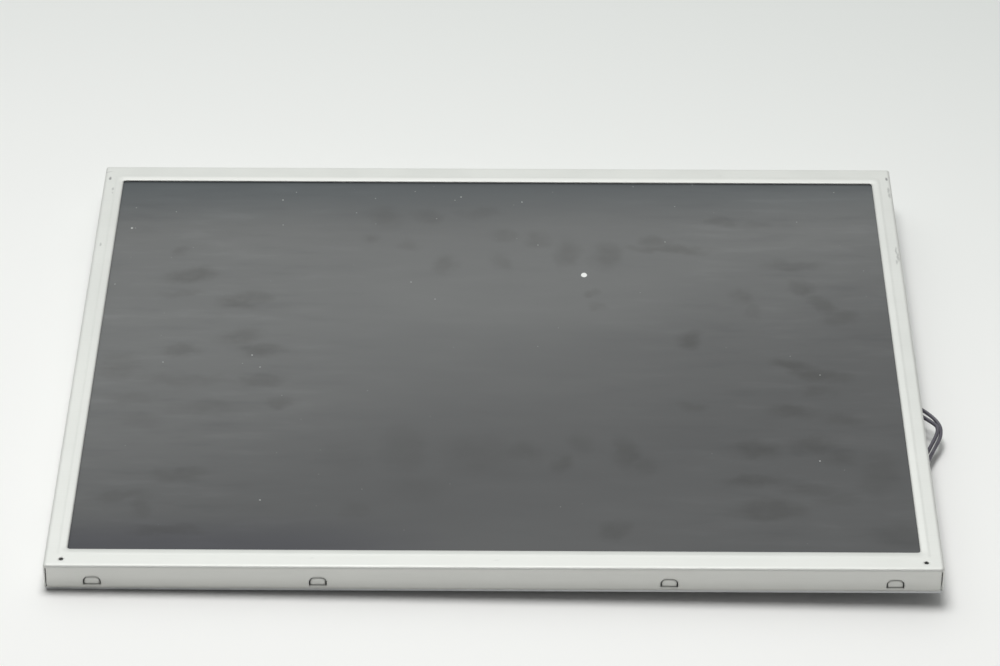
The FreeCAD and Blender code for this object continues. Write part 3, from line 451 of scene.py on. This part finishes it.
# %% Wipe streaks
WIPED = (1.12, 1.12, 1.11, 1)
STREAK_PALE, STREAK_DARK = (1.16, 1.16, 1.16, 1), (0.87, 0.87, 0.88, 1)
wiped = screen.noise(size=0.04, detail=4.0, stretch=(0.35, 1, 1))
haze_and_painted_light = screen.mix(screen.range(wiped, 0.4, 0.75), haze_and_painted_light, WIPED, "MULTIPLY")
sides = screen.range(screen.math("ABSOLUTE", left_to_right), 0.03, 0.12, to_low=0.25, to_high=1.0)
streaks = screen.noise(size=0.008, detail=3.0, stretch=(0.22, 1, 1))
for streak, end in ((STREAK_PALE, 0.75), (STREAK_DARK, 0.25)):
    share = screen.product(screen.range(streaks, 0.5, end), sides)
    haze_and_painted_light = screen.mix(share, haze_and_painted_light, streak, "MULTIPLY")
print("haze and streaks in", len(screen.tree.nodes), "nodes")

# %% Prints
GREASE = [
    (192, 275, 9.5, 4.6, 16, 0.60), (180, 252, 2.5, 3.0, 0, 0.35), (183, 292, 9.0, 2.2, 4, 0.30),
    (240, 300, 9.5, 5.0, 12, 0.50), (262, 298, 5.0, 3.5, 0, 0.35), (242, 337, 8.5, 6.5, 8, 0.45),
    (265, 350, 10.0, 4.0, 2, 0.50), (180, 351, 7.0, 3.6, 0, 0.45), (120, 367, 8.5, 8.5, -8, 0.40),
    (185, 381, 20.0, 3.5, 0, 0.30), (262, 381, 9.0, 3.5, 3, 0.40), (135, 398, 10.0, 4.0, 0, 0.30),
    (205, 408, 14.0, 5.0, 0, 0.30), (280, 402, 6.0, 3.2, 12, 0.45), (140, 420, 8.0, 5.0, 0, 0.25),
    (180, 475, 10.5, 4.0, 0, 0.45), (117, 495, 12.0, 3.0, 10, 0.40), (143, 506, 4.0, 8.0, 0, 0.35),
    (170, 530, 13.0, 2.8, -3, 0.50), (385, 217, 8.0, 7.5, 0, 0.35), (427, 217, 6.0, 6.0, 0, 0.35),
    (480, 213, 9.0, 4.5, 0, 0.30), (372, 238, 4.0, 3.5, 0, 0.35), (408, 245, 5.0, 4.0, -10, 0.30),
    (445, 264, 5.2, 6.6, -25, 0.42), (502, 263, 4.2, 7.0, 0, 0.30), (503, 236, 6.0, 4.0, 0, 0.30),
    (537, 240, 5.0, 6.0, 0, 0.35), (567, 254, 5.0, 10.0, 0, 0.42), (605, 256, 5.5, 9.5, 0, 0.42),
    (595, 293, 2.8, 3.0, 0, 0.40), (599, 308, 3.0, 3.0, 0, 0.35), (670, 249, 17.0, 2.8, -2, 0.50),
    (655, 243, 5.0, 4.0, 0, 0.40), (722, 222, 6.0, 3.5, 0, 0.40), (757, 226, 7.0, 2.8, 0, 0.25),
    (792, 265, 12.0, 3.5, 2, 0.35), (742, 297, 5.5, 6.0, 0, 0.40), (752, 312, 3.0, 6.0, 0, 0.25),
    (802, 288, 5.5, 4.5, -20, 0.55), (822, 305, 4.5, 8.0, 35, 0.50), (842, 318, 7.0, 5.5, -25, 0.45),
    (690, 340, 5.2, 4.6, 0, 0.65), (694, 407, 5.0, 3.4, 0, 0.40), (792, 364, 9.0, 3.8, -18, 0.65),
    (815, 374, 9.0, 4.2, -18, 0.65), (836, 379, 6.0, 4.0, -10, 0.40), (815, 391, 7.0, 3.6, -5, 0.45),
    (793, 411, 10.5, 3.8, -8, 0.55), (840, 421, 8.0, 5.5, -15, 0.45), (755, 450, 9.5, 5.0, -3, 0.60),
    (815, 445, 9.5, 6.0, 10, 0.55), (842, 458, 7.0, 5.0, 10, 0.50), (754, 481, 11.0, 3.8, 0, 0.60),
    (805, 488, 9.5, 4.6, -4, 0.50), (772, 510, 13.0, 5.6, 2, 0.60), (835, 500, 8.0, 4.0, 5, 0.30),
    (627, 455, 5.5, 10.0, 8, 0.50), (647, 466, 4.5, 5.0, 0, 0.35), (580, 442, 4.2, 8.0, 0, 0.30),
    (562, 463, 4.2, 6.5, 0, 0.50), (525, 453, 8.0, 7.5, 0, 0.40), (480, 455, 14.0, 12.0, 0, 0.30),
    (405, 450, 9.0, 14.0, 0, 0.30), (345, 455, 10.0, 9.0, 0, 0.18), (420, 490, 12.0, 8.0, 0, 0.20),
    (355, 510, 6.0, 5.0, 0, 0.25), (615, 533, 4.2, 6.5, -30, 0.50), (880, 475, 8.0, 14.0, 0, 0.35),
    (900, 535, 8.0, 8.0, 0, 0.35),
]
GREASE_SHADE = (0.51, 0.49, 0.47, 1)
blotches = screen.noise(size=0.008, detail=5.0, roughness=0.65)
blotchy = screen.range(blotches, 0.25, 0.6, to_low=0.6, to_high=1.0)
prints = spots(screen, wobble(screen, size=0.012, amount=0.013), GREASE, screen_level, fade=0.2)
grease = screen.product(prints, blotchy)
colour = screen.mix(grease, haze_and_painted_light, GREASE_SHADE, "MULTIPLY")
print(len(GREASE), "greasy marks")

# %% Dust
DUST = [
    (584, 275, 1.3, 1.7, 0, 1.0), (283, 200, 0.35, 0.35, 0, 0.5), (283, 225, 0.3, 0.3, 0, 0.4),
    (132, 228, 0.5, 0.45, 0, 0.6), (461, 197, 0.35, 0.35, 0, 0.45), (522, 202, 0.35, 0.3, 0, 0.6),
    (538, 245, 0.3, 0.3, 0, 0.35), (411, 282, 0.3, 0.3, 0, 0.4), (435, 299, 0.3, 0.3, 0, 0.4),
    (252, 355, 0.35, 0.3, 0, 0.6), (260, 367, 0.3, 0.3, 0, 0.4), (163, 362, 0.3, 0.3, 0, 0.35),
    (820, 375, 0.3, 0.3, 0, 0.4), (820, 461, 0.35, 0.35, 0, 0.5), (260, 500, 0.35, 0.3, 0, 0.5),
    (115, 284, 0.3, 0.3, 0, 0.4), (665, 242, 0.3, 0.3, 0, 0.35),
]
DUST_PALE = (0.85, 0.86, 0.84, 1)
SPECK_PITCH = 0.009
SPECK_STRENGTH = 0.4
flecks = spots(screen, wobble(screen, size=0.001, amount=0.0004), DUST, screen_level, fade=0.75)
sown = {"Vector": screen.place, "Scale": 1 / SPECK_PITCH}
cells = screen.add("ShaderNodeTexVoronoi", sown, voronoi_dimensions="2D").outputs
chance = screen.add("ShaderNodeSeparateColor", {0: cells["Color"]}).outputs[0]
chance = screen.math("ADD", chance, screen.range(near_to_far, 0.09, 0.13, to_low=0.0, to_high=0.2))
specks = screen.product(screen.range(chance, 0.94, 1.05), screen.range(cells["Distance"], 0.04, 0.015))
dust = screen.math("MAXIMUM", flecks, screen.product(specks, SPECK_STRENGTH))
colour = screen.mix(dust, colour, DUST_PALE)
print(len(DUST), "flecks of dust, and fine specks")

# %% Screen finish
GREASE_GLOSS = 0.08
roughness = screen.range(wiped, 0.3, 0.8, to_low=0.46, to_high=0.5)
roughness = screen.math("SUBTRACT", roughness, screen.product(grease, GREASE_GLOSS))
screen.set(Base_Color=colour, Roughness=roughness)
screen.bump(screen.noise(size=0.0004, detail=1.0), depth=0.000004, strength=0.3)
print("screen in", len(screen.tree.nodes), "nodes")

# %% [markdown]
# ## Rear steel
# The chassis is galvanised sheet, whose zinc freezes in pale and dark crystals. The shield over the
# driver board is brighter tinned sheet with fine rolling lines, and the screws, nuts and lamp links
# are plain steel. One function gives all three, from two tones, a grain, its stretch and a roughness.

# %% Steel finishes
CRYSTAL_SHARE, STEEL_CLOUD_SHARE = 0.6, 0.4
STEEL_SPREAD = 0.06


def sheet_steel(name, dark, pale, grain, stretch, roughness):
    steel = Finish(name, Metallic=1.0)
    crystals = steel.add("ShaderNodeTexVoronoi", {"Vector": steel.grains(grain, stretch), "Scale": 1.0})
    tone = steel.add("ShaderNodeSeparateColor", {0: crystals.outputs["Color"]}).outputs[0]
    cloud = steel.product(steel.noise(size=0.05), STEEL_CLOUD_SHARE)
    share = steel.math("ADD", steel.product(tone, CRYSTAL_SHARE), cloud)
    rough = steel.range(tone, 0.0, 1.0, roughness - STEEL_SPREAD, roughness + STEEL_SPREAD)
    steel.set(Base_Color=steel.mix(share, dark, pale), Roughness=rough)
    steel.bump(tone, depth=0.00001, strength=0.2)


sheet_steel("chassis_steel", (0.44, 0.45, 0.46, 1), (0.55, 0.56, 0.57, 1),
            grain=0.005, stretch=(1, 1, 1), roughness=0.40)
sheet_steel("shield_steel", (0.55, 0.56, 0.57, 1), (0.64, 0.65, 0.65, 1),
            grain=0.0012, stretch=(0.04, 1, 1), roughness=0.32)
sheet_steel("screw_steel", (0.36, 0.36, 0.37, 1), (0.50, 0.50, 0.51, 1),
            grain=0.0004, stretch=(1, 1, 0.2), roughness=0.30)
print(len(FINISHES), "finishes so far, three of them steel")

# %% [markdown]
# ## Moulded, rubber and film pieces
# These finishes differ in colour, gloss and the size of their grain, and share one recipe: two tones
# mixed by noise, a roughness that follows the noise, and a fine bump with a grain an eighth as large.

# %% Plain finishes
MOULDED_SPREAD = 0.05
FINE_GRAIN = 1 / 8


def grey(value, warm=0.0):
    """A near grey, with a little more red and less blue where it is warm."""
    return (value * (1 + warm), value, value * (1 - warm), 1.0)


def moulded(name, first, second, grain, roughness, depth, **shader):
    """A finish from two tones, its grain in metres, its roughness and its bump's depth in metres."""
    finish = Finish(name, **shader)
    cloud = finish.noise(grain, detail=4.0)
    tone = finish.mix(finish.range(cloud, 0.3, 0.7), first, second)
    rough = finish.range(cloud, 0.3, 0.7, roughness - MOULDED_SPREAD, roughness + MOULDED_SPREAD)
    finish.set(Base_Color=tone, Roughness=rough)
    finish.bump(finish.noise(grain * FINE_GRAIN, detail=2.0), depth, strength=0.4)


moulded("guide_plastic", grey(0.020), grey(0.032), 0.004, 0.55, 0.00003)
moulded("sheet_film", (0.78, 0.80, 0.82, 1), (0.84, 0.85, 0.86, 1), 0.01, 0.6, 0.00001)
moulded("lamp_reflector", (0.80, 0.81, 0.82, 1), (0.86, 0.87, 0.87, 1), 0.008, 0.22, 0.00001, Metallic=1.0)
moulded("lamp_glass", (0.86, 0.86, 0.83, 1), (0.90, 0.90, 0.87, 1), 0.005, 0.25, 0.000005)
moulded("holder_rubber", grey(0.022), grey(0.034, warm=0.03), 0.002, 0.7, 0.00004)
moulded("foam", grey(0.014), grey(0.028), 0.0006, 0.9, 0.0001)
moulded("chip_black", grey(0.016), grey(0.026), 0.0012, 0.5, 0.00003)
moulded("socket_plastic", (0.60, 0.55, 0.43, 1), (0.66, 0.61, 0.49, 1), 0.003, 0.45, 0.00002)
moulded("lead_cover", (0.080, 0.075, 0.096, 1), (0.112, 0.105, 0.130, 1), 0.003, 0.38, 0.00002)
moulded("plug_nylon", (0.66, 0.65, 0.58, 1), (0.73, 0.72, 0.66, 1), 0.004, 0.4, 0.00002)
print(len(FINISHES), "finishes so far")

# %% [markdown]
# ## Glass, acrylic and driver films
# The two glass sheets and the light guide plate are clear, so they let most of the light through and
# have only a faint tint. The driver films are amber, with fine copper lines that run from the glass
# to the board. A wave texture could draw them, but with a sine of X their pitch is a plain length.

# %% Clear finishes
def clear(name, first, second, smoothest, roughest):
    finish = Finish(name, Transmission_Weight=0.9, IOR=1.5)
    rough = finish.range(finish.noise(size=0.02), 0.3, 0.7, smoothest, roughest)
    finish.set(Base_Color=finish.mix(finish.noise(size=0.05), first, second), Roughness=rough)


clear("cell_glass", (0.72, 0.80, 0.78, 1), (0.80, 0.86, 0.84, 1), smoothest=0.03, roughest=0.06)
clear("clear_acrylic", (0.86, 0.91, 0.90, 1), (0.92, 0.95, 0.94, 1), smoothest=0.06, roughest=0.12)
print("two clear finishes")

# %% Driver films
AMBER, COPPER = (0.36, 0.16, 0.03, 1), (0.52, 0.28, 0.10, 1)
LINE_PITCH = 0.0004
film = Finish("drive_film", Roughness=0.3)
lines = film.math("SINE", film.product(film.axes()["X"], 2 * math.pi / LINE_PITCH))
copper = film.product(film.range(lines, 0.0, 0.6), film.range(film.noise(size=0.006), 0.3, 0.6))
film.set(Base_Color=film.mix(copper, AMBER, COPPER))
film.bump(lines, depth=0.000008, strength=0.4)
print("amber films with a line every", LINE_PITCH / MM, "mm")

# %% [markdown]
# ## Driver board
# The board is green solder mask over copper. Its tracks show as slightly paler lines, which a brick
# texture gives without drawing each one: the lines are the mortar between its bricks.

# %% Board finish
MASK_DARK, MASK_PALE = (0.012, 0.085, 0.035, 1), (0.018, 0.11, 0.045, 1)
TRACK_GREEN = (0.04, 0.20, 0.08, 1)
board = Finish("board_green", Roughness=0.35)
bricks = {"Vector": board.place, "Scale": 120.0, "Mortar Size": 0.03}
tracks = board.add("ShaderNodeTexBrick", bricks).outputs["Fac"]
colour = board.mix(board.noise(size=0.01), MASK_DARK, MASK_PALE)
board.set(Base_Color=board.mix(tracks, colour, TRACK_GREEN))
board.bump(tracks, depth=0.00003, strength=0.5)
print(len(FINISHES), "finishes in all")

# %% [markdown]
# ## Dress every solid
# The packed record says which finish each solid takes, so the finishes are handed out from it, and a
# solid that was added later cannot be forgotten. The two wires take the finish of the leads that
# they stand for.

# %% Hand out the finishes
for part in frame["record"]["subparts"]:
    nodes[part["node"]].material_slots[0].material = FINISHES[part["material_slot"]].material
for wire in wires:
    wire.data.materials.append(FINISHES["lead_cover"].material)
print("dressed", len(nodes), "solids and", len(wires), "wires")
